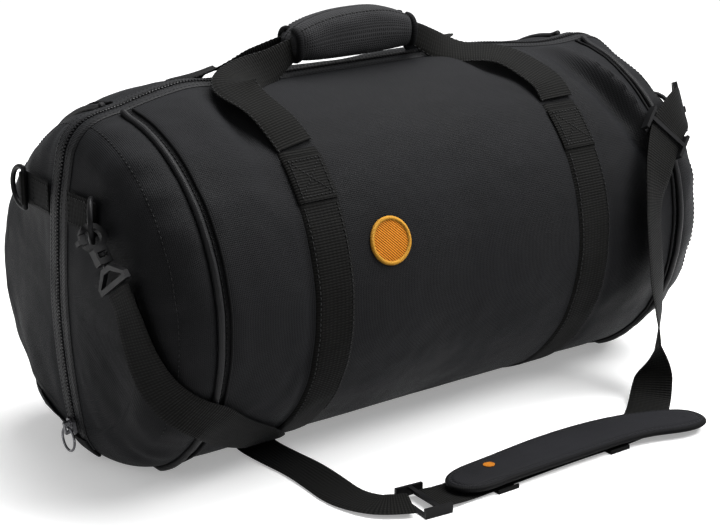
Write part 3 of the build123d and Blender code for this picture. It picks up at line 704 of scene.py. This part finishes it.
PATCH_HALF = 13.0
PATCH_TOP_Z = 25.0
for end, side in ENDS:
    where, *tail_line = zip_path(step=1.5, end_z=6.5)
    pick = (np.sign(tail_line[0]) == side) & (tail_line[1] < 0) & (AXIS_Z + tail_line[1] < PATCH_TOP_Z)
    rows = [values[pick][:, None] for values in tail_line]
    y = np.linspace(-PATCH_HALF, PATCH_HALF, 15)
    rise = edge_rise(1.2, 1.6, (PATCH_HALF - np.abs(y)) / 1.5 + 0.3)
    patch = slab(f"{end}_zip_end", over_zip(*rows, y, rise, 0.3), over_zip(*rows, y, 0.2, 0.2),
                 "binding", uv_grid(where[pick][:, None], y), turned=True)
    place_end(patch, "front_half", "binding", side, "zip_end_patches")

# ---- handles ----
HANDLE_R = RADIUS + 2.7
LEG_Y, LEG_Z = math.sin(math.radians(LEG_ANGLE)), math.cos(math.radians(LEG_ANGLE))
GRIP_X = (-84.0, 54.0)
GRIP_Y, GRIP_Z = 8.5, 332.5  # the webbing's middle inside the grip
GRIP_GAP = 0.35  # from the middle of the bag to the grip half's flat back


def handle_stops(sign):
    """(x, y, z, normal x, y, z, width) along one handle's webbing."""
    def facing(angle, lean=0.0):
        turn = math.radians(angle)
        return lean, sign * math.sin(turn), math.cos(turn)

    def leg(x, distance):
        return (x, sign * (HANDLE_R * LEG_Y - distance * LEG_Z),
                AXIS_Z + HANDLE_R * LEG_Z + distance * LEG_Y, *facing(LEG_ANGLE), WEB)

    def over(x, angle, lift, tilt, lean=0.0):
        turn, r = math.radians(angle), RADIUS + lift
        return (x, sign * r * math.sin(turn), AXIS_Z + r * math.cos(turn), *facing(tilt, lean), WEB)

    held = (sign * GRIP_Y, GRIP_Z, 0, sign, 0.12, 20)
    left, right = GRIP_X
    slack = 5.0 if sign > 0 else 0.0  # the rear loop lies a little inwards and lower
    return [leg(-BAND_X, 1.5), over(-BAND_X - 5 + slack, 31, 6 - slack / 2, 31),
            over(-BAND_X - 13 + 2 * slack, 21, 9 - slack / 2, 24),
            over(-BAND_X - 16 + 3 * slack, 12.5, 12 - slack, 22, -0.3),
            (-BAND_X + 3 + 2 * slack, sign * 22, 319.5 - slack / 3, *facing(34, -0.2), WEB),
            (left - 26, sign * 14, 322, *facing(66), 30),
            (left + 4, *held), (-15, *held), (right - 4, *held),
            (right + 18, sign * 12.5, 320.5, *facing(62), 28),
            (right + 42, sign * 25, 312.5, *facing(24), 36),
            over(BAND_X - 22, 17, 7.0, 20), over(BAND_X - 7, 27, 6.0, 28),
            over(BAND_X - 1, 34, 5.5, 35), leg(BAND_X, 1.5)]


def grip_half(name, sign):
    """Half of the padded hand wrap: arched above, nearly flat below, puffed at the side."""
    left, right = GRIP_X
    rows, columns = 64, 33
    u = crowded(rows)
    arch = 1 - u**2
    high = 345.5 + 15.5 * arch**0.8 + 1.2 * bell(u, 0.45, 0.3)
    low = 321.0 - 2.5 * arch
    close = np.clip(1 - np.abs(u)**9, 0, 1)**0.45 * 0.90 + 0.10
    phi = np.linspace(-math.pi / 2, math.pi / 2, columns)
    bulge = np.cos(phi)**0.62
    tall = np.sign(np.sin(phi)) * np.abs(np.sin(phi))**0.75
    u, close, half, middle = (a[:, None] for a in (u, close, (high - low) / 2, (high + low) / 2))
    x, y, z = grids((left + right) / 2 + (right - left) / 2 * u,
                    sign * (GRIP_GAP + 17.4 * close * bulge),
                    middle + half * tall * (0.35 + 0.65 * close))
    points = np.stack([x, y, z], axis=-1)
    puff = wobble(points * np.array([0.6, 1.0, 1.4]), 16.0, 21.0) * 1.1 * bulge
    # gathers at both ends, slanting at the near one
    crease = np.sin(x / 5.5 + z / 9) * bell(u, -0.86, 0.14) + np.sin(x / 5.0) * bell(u, 0.86, 0.14)
    points[..., 1] += sign * (puff + 0.9 * crease * bulge) * close
    back = points.copy()
    back[..., 1] = sign * GRIP_GAP
    body = slab(name, points, back, "grip", uv_grid(x, np.arange(columns) * 2.0), turned=sign > 0)
    if sign > 0:
        points = points[:, ::-1]
    seams = []
    for k in (6, columns - 7):
        line = points[3:-3, k]
        tilt = 0.6 if line[:, 2].mean() > 340 else -0.6
        seams.append((line + (0, sign * 0.2, 0), np.tile([0, sign, tilt], (len(line), 1))))
    ends = [tube(f"{name}_end_{mark}", points[row, 1:-1] + (0, sign, 0), 3.2, "binding", sides=12)
            for mark, row in (("a", 9), ("b", rows - 10))]
    return body, stitches(f"{name}_stitches", seams, pitch=3.6), ends


for face, sign, _ in HALVES:
    body = f"{face}_handle"
    line = cubic(handle_stops(sign), 170)
    web, surface, up = ribbon(f"{face}_handle_loop", line[:, :3], line[:, 3:6], line[:, 6], 2.2,
                              "webbing", cup=0.6)
    place(web, body, "webbing", f"{face}_handle_webbing")
    seams = [(surface[:, k], up) for k in (1, -2)]
    place(stitches(f"{face}_handle_stitches", seams, pitch=4.6), body, "webbing")
    wrap, sewn, ends = grip_half(f"{face}_hand_wrap", sign)
    place(wrap, body, "grip", f"{face}_grip_pad")
    for piece in (sewn, *ends):
        place(piece, body, "grip")

# ---- ring tabs on the caps ----
TAB_Z, TAB_H, TAB_Y = 232.0, 28.0, 58.0
TAB_TURN = 3.4  # radius of the webbing round a ring's bar
TAB_BOX = ((TAPE + 3, TAB_Y - 13), (-11, 11))  # the stitched box, in y and about TAB_Z


def tab_x(y):
    """The dome at the tabs' height."""
    return DOME_X + np.sqrt(DOME**2 - y**2 - (TAB_Z - AXIS_Z)**2)


def ring_tab(end, side, face, sign, body):
    route = [(tab_x(y) + 1.3, y) for y in np.linspace(TAPE + 1, TAB_Y - 8, 14)]
    route += [(tab_x(TAB_Y) + 4.6 + TAB_TURN * math.sin(a), TAB_Y + TAB_TURN * math.cos(a))
              for a in np.radians(np.linspace(-80, 170, 22))]
    line = np.array([(side * x, sign * y, TAB_Z) for x, y in route])
    normals = -side * sign * np.cross(unit(np.gradient(line, axis=0)), [0, 0, 1.0])
    tab, _, _ = ribbon(f"{end}_{face}_ring_tab", line, normals, TAB_H, 1.5, "webbing")
    place(tab, body, "webbing", f"{end}_{face}_tab")
    (inner, outer), (low, high) = TAB_BOX
    box = [(inner, low), (inner, high), (outer, high), (outer, low), (inner, low)]
    seams = []
    for (y0, z0), (y1, z1) in zip(box, box[1:]):
        y, z = np.linspace(y0, y1, 12), TAB_Z + np.linspace(z0, z1, 12)
        seams.append((np.stack([side * (tab_x(y) + 2.2), sign * y, z], axis=-1),
                      np.tile([side, 0, 0], (12, 1))))
    place(stitches(f"{end}_{face}_tab_stitches", seams, pitch=3.2, length=2.5), body, "webbing")


for end, side in ENDS:
    for half in HALVES:
        ring_tab(end, side, *half)

# ---- hard parts keep their CAD shapes ----
FINISH = {"hardware": ("d_ring", "_hook", "hook_eye", "_gate"), "steel": ("slider", "pull_ring"),
          "plastic": ("adjuster",), "lining": ("lining",), "webbing": ("pad_keepers",)}
for name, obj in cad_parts.items():
    for finish, endings in FINISH.items():
        if name.endswith(endings):
            obj.data.materials.clear()
            obj.data.materials.append(MATERIALS[finish])
            sharpen(obj, 35.0)


# ---- shoulder strap ----
def on_edge(side, angle, turn, lift):
    """(point, normal) on a cap's rounded shoulder: turn is 0 at the rim, more towards the dome."""
    reach, rise, round_ = EDGE + lift, math.radians(turn), math.radians(angle)
    r = EDGE_R + reach * math.cos(rise)
    return ((side * (RIM_X + reach * math.sin(rise)), r * math.sin(round_),
             AXIS_Z + r * math.cos(round_)),
            (side * math.sin(rise), math.sin(round_) * math.cos(rise),
             math.cos(round_) * math.cos(rise)))


def on_wall(x, angle, lift):
    """(point, normal) on the barrel at an angle from the top."""
    round_ = math.radians(angle)
    r = RADIUS + lift
    return (x, r * math.sin(round_), AXIS_Z + r * math.cos(round_)), (0, math.sin(round_), math.cos(round_))


UP = (0, 0, 1)
NEAR_ROUTE = [((-312.3, -98.8, 185.6), (-1, 0, 0)), ((-310.6, -105.8, 175.4), (-1, 0, 0)),
              on_edge(-1, -98, 76, 6), on_edge(-1, -109, 55, 4), on_edge(-1, -115, 28, 4),
              on_edge(-1, -119, 0, 6), on_wall(-232, -127, 4.4), on_wall(-206, -134, 4.4),
              on_wall(-184, -141, 4.4), on_wall(-170, -147, 4.4), on_wall(-164, -152.5, 4.4),
              ((-163, -66, 5.6), (0, -0.35, -0.93)), ((-163, -59.5, 3.8), (0, -1, 0)),
              ((-163, -66, 2.0), UP), ((-162.5, -78, 1.5), UP), ((-161, -98, 1.3), UP),
              ((-158, -130, 1.3), UP),
              ((-160, -162, 1.3), UP), ((-163, -192, 1.4), UP), ((-158, -214, 2.4), UP),
              ((-149, -231, 4.1), UP), ((-130, -240.5, 4.4), UP)]
FAR_ROUTE = [((-118, -242.4, 4.4), UP), ((-105, -243, 3.9), UP), ((-93, -243, 2.6), UP),
             ((-70, -242.5, 2.3), UP), ((0, -239, 2.3), UP), ((60, -238, 2.3), UP),
             ((106, -240, 2.3), UP), ((138, -233, 2.3), UP), ((162, -217, 2.2), UP),
             ((181, -202, 6), (-0.45, -0.4, 0.8)), ((193, -193, 22), (-0.85, -0.3, 0.25)),
             ((208, -183, 44), (-0.8, 0.6, 0)), ((216, -175, 72), (-0.6, 0.8, 0)),
             ((214, -172, 108), (-0.46, 0.89, 0)), ((209, -171, 145), (-0.46, 0.89, 0)),
             ((206, -170, 182), (-0.4, 0.9, -0.1)), ((220, -161, 214), (-0.25, 0.85, -0.4)),
             ((244, -144, 237), (-0.15, 0.83, -0.55)), ((269, -135, 252), (-0.4, 0.75, -0.5)),
             ((289.4, -122.3, 253.1), (-0.6, 0.75, -0.3)), ((296.0, -112.6, 248.7), (-0.6, 0.75, -0.3))]


def spline_line(stops, per_stop=12):
    """Points read from the smooth spline whose control points are the route's stops."""
    curve = bpy.data.curves.new("route", "CURVE")
    curve.dimensions = "3D"
    spline = curve.splines.new("NURBS")
    spline.points.add(len(stops) - 1)
    for point, (where_at, _) in zip(spline.points, stops):
        point.co = (*(c * M for c in where_at), 1)
    spline.order_u = 3
    spline.use_endpoint_u = True
    spline.resolution_u = per_stop
    holder = bpy.data.objects.new("route", curve)
    bpy.context.scene.collection.objects.link(holder)
    bpy.context.view_layer.update()
    mesh = bpy.data.meshes.new_from_object(holder)
    line = np.array([v.co for v in mesh.vertices]) / M
    bpy.data.objects.remove(holder)
    bpy.data.curves.remove(curve)
    bpy.data.meshes.remove(mesh)
    return line

def strap(name, node, stops, length):
    """A free strap along a route; its length in metres sets how many points it has."""
    line = resample(spline_line(stops), int(length * 1000 / 2.6))
    places = np.array([place_at for place_at, _ in stops], float)
    nearest = [int(np.argmin(np.linalg.norm(line - p, axis=1))) for p in places]
    nearest = np.maximum.accumulate(nearest)
    facing = np.stack([np.interp(np.arange(len(line)), nearest, [normal[k] for _, normal in stops])
                       for k in range(3)], axis=-1)
    piece, _, _ = ribbon(name, line, unit(facing), WEB, 1.8, "webbing", columns=13)
    place(piece, "front_half", "webbing", node)


strap("near_strap_web", "near_strap", NEAR_ROUTE, 0.48)

# ---- shoulder pad ----
PAD_BASE, PAD_T = 3.8, 9.0
PAD_SEAM = PAD_BASE + 4.6  # height of the seam round its edge
NEAR_TIP = [(-87.5, -250), (-90, -242), (-87.5, -235)]
FAR_TIP = [(177, -246), (182, -260), (177, -272)]
REAR_EDGE = [(-82, -229), (-46, -220), (10, -215), (70, -214), (125, -222), (166, -238)]
FRONT_EDGE = [(-82, -256), (-46, -261), (10, -260), (70, -260), (125, -266), (166, -276)]
SPINE = ((-90, -242.5), (60, -237.5), (130, -243), (182, -259))
SPINE_ENDS = (-74, 160)  # the crown's straight middle line stops short of the tips
CHANNEL = 0.62  # the sewn channel, as a share of the rings from the spine
PAD_RINGS = 16


def pad_rings(outline):
    """The pad's top: rings of points from its spine (first) to its outline (last)."""
    spine = np.stack([np.clip(outline[:, 0], *SPINE_ENDS),
                      np.interp(outline[:, 0], *zip(*SPINE))], axis=-1)
    share = np.linspace(0, 1, PAD_RINGS + 1)[:, None, None]
    shrink, crown = np.sin(share * math.pi / 2), np.cos(share * math.pi / 2)
    flat = spine * (1 - shrink) + outline * shrink
    height = PAD_SEAM + (PAD_BASE + PAD_T - PAD_SEAM) * crown**0.45
    top = np.concatenate([flat, np.broadcast_to(height, (*flat.shape[:2], 1))], axis=-1)
    top[..., 2] += 0.8 * wobble(top * np.array([0.5, 1, 1]), 14.0, 31.0) * crown[..., 0]
    top[..., 2] -= 1.3 * bell(share[..., 0], CHANNEL, 0.07)
    return top


rear_side = [NEAR_TIP[1], NEAR_TIP[2], *REAR_EDGE, *FAR_TIP]
outline = cubic(rear_side + FRONT_EDGE[::-1] + NEAR_TIP[:2], 221)[:-1]
count = len(outline)
top = pad_rings(outline)
below = top[::-1][1:].copy()
below[..., 2] = np.maximum(PAD_SEAM - (below[..., 2] - PAD_SEAM) * 0.85, PAD_BASE)
shell = np.concatenate([top, below])
faces = grid_quads(len(shell), count, closed=True, flip=True)
uvs = shell[..., :2].reshape(-1, 2) * M
pad = make_object("shoulder_pad", shell.reshape(-1, 3), faces, "pad", uvs)
modifier = pad.modifiers.new("weld", "WELD")
modifier.merge_threshold = 0.00002
place(pad, "pad", "pad", "shoulder_pad_foam", "shoulder_pad_cover")
edge_line = np.concatenate([outline, np.full((count, 1), PAD_SEAM)], axis=1)
binding = tube("shoulder_pad_edge", edge_line, 2.4, "binding", sides=12, closed=True)
place(binding, "pad", "binding", "shoulder_pad_binding")
seam = top[round(CHANNEL * PAD_RINGS)] + (0, 0, 0.1)
pad_stitches = stitches("shoulder_pad_stitches", [(seam, np.tile([0, 0, 1.0], (count, 1)))],
                        pitch=4.2)
place(pad_stitches, "pad", "pad")


# ---- two plain round patches: a small one on the pad, a large one on the front ----
def discs(radii, points):
    """Rings of (across, along) offsets in millimetres, one for each radius."""
    turn = np.linspace(0, 2 * math.pi, points)
    return np.array(radii)[:, None, None] * np.stack([np.cos(turn), np.sin(turn)], axis=-1)


DOT = (-44.0, -236.0)  # the small one's middle, in x and y
offsets = discs((0.01, 2.2, 3.8, 5.0), 48)
flat = offsets + DOT
crown_points = top.reshape(-1, 3)
gaps = np.linalg.norm(crown_points[:, :2] - flat[..., None, :], axis=-1)
near_by = 1 / (gaps + 0.5)**4
height = (near_by * crown_points[:, 2]).sum(-1) / near_by.sum(-1)
dot = np.concatenate([flat, height[..., None]], axis=-1)
pad_patch = slab("pad_patch", dot + (0, 0, 0.7), dot - (0, 0, 0.7), "badge", offsets * M)
place(pad_patch, "pad", "badge")

strap("far_strap_web", "far_strap", FAR_ROUTE, 0.64)

BADGE_X, BADGE_TURN = -85, math.radians(-74)
BADGE_LIFT = np.array([[1.3], [1.35], [1.3], [1.25]])


def on_front(offsets, lift):
    """Points round the large patch's middle."""
    return barrel(BADGE_X + offsets[..., 0], BADGE_TURN + offsets[..., 1] / RADIUS, lift)


offsets = discs((0.01, 6, 12, 17), 72)
badge = slab("round_patch", on_front(offsets, BADGE_LIFT), on_front(offsets, 0.1), "badge",
             offsets * M, turned=True)
place(badge, "front_half", "badge", "front_badge")
rim = tube("round_patch_rim", on_front(discs((18.6,), 72)[0, :-1], 0.8), 1.9, "badge_rim",
           closed=True)
place(rim, "front_half", "badge")

# ---- the fold that joins the halves ----
FOLD_HALF = 9.0  # half the height of its strip of cloth
line = profile(6.0)
line = line[line[:, 1] > AXIS_Z - FOLD_Z + 4]
x, r, lean = (column[:, None] for column in line.T)
v = np.linspace(-1, 1, 13)[None]
theta = np.arccos(np.clip((FOLD_Z + FOLD_HALF * v - AXIS_Z) / r, -1, 1))
bulge = 1.0 + 2.2 * (1 - v**2)
fold = slab("fold_strip", skin(x, r, lean, theta, bulge, 0.2),
            skin(x, r, lean, theta, bulge - 1.2, 0.1), "binding", uv_grid(x, FOLD_HALF * v))
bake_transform(fold)

# ---- stage, light and camera, in metres ----
paper = Shader("studio_floor")
paper.feed(paper.surface, {
    "Base Color": paper.tint(paper.speckle(paper.where["Object"], 3.0), (0.90, 0.90, 0.90),
                             (0.93, 0.93, 0.93)),
    "Roughness": 0.9, "Emission Color": (1, 1, 1, 1), "Emission Strength": 0.30})
floor_mesh = bpy.data.meshes.new("studio_floor")
floor_mesh.from_pydata([(-30, -30, 0), (30, -30, 0), (30, 30, 0), (-30, 30, 0)], [], [(0, 1, 2, 3)])
floor_mesh.materials.append(paper.material)
floor = bpy.data.objects.new("studio_floor", floor_mesh)
bpy.context.scene.collection.objects.link(floor)
floor.visible_diffuse = False  # the white floor throws no light up on the dark cloth

world = bpy.data.worlds.new("studio")
bpy.context.scene.world = world
world.use_nodes = True
world.node_tree.nodes["Background"].inputs["Color"].default_value = (1, 1, 1, 1)
world.node_tree.nodes["Background"].inputs["Strength"].default_value = 0.36


def area_light(name, position, target, size, power):
    data = bpy.data.lights.new(name, "AREA")
    data.shape = "RECTANGLE"
    data.size, data.size_y = size
    data.energy = power
    light = bpy.data.objects.new(name, data)
    bpy.context.scene.collection.objects.link(light)
    light.location = position
    light.rotation_euler = (Vector(target) - Vector(position)).to_track_quat("-Z", "Y").to_euler()


area_light("key", (0.85, -0.80, 1.30), (0.12, -0.05, 0.22), (1.0, 0.8), 26)
area_light("top", (0.45, 0.25, 2.1), (0, 0, 0.2), (1.6, 1.0), 60)
area_light("side", (-2.0, -0.2, 1.3), (-0.3, 0, 0.15), (0.9, 0.9), 3)

CAMERA_AT = (-0.9652, -1.2868, 0.6466)
camera = bpy.data.objects.new("camera", bpy.data.cameras.new("camera"))
bpy.context.scene.collection.objects.link(camera)
camera.data.lens = 91.0
camera.data.sensor_width = 36.0
camera.data.clip_end = 80
right = Vector((0.8005, -0.5994, -0.0002)).normalized()
back = Vector((-0.5693, -0.7605, 0.3124)).normalized()
up = back.cross(right).normalized()
right = up.cross(back).normalized()
turned = Matrix((right, up, back)).transposed().to_4x4()
camera.matrix_world = Matrix.Translation(CAMERA_AT) @ turned
bpy.context.scene.camera = camera
bpy.context.scene.view_settings.view_transform = "Standard"
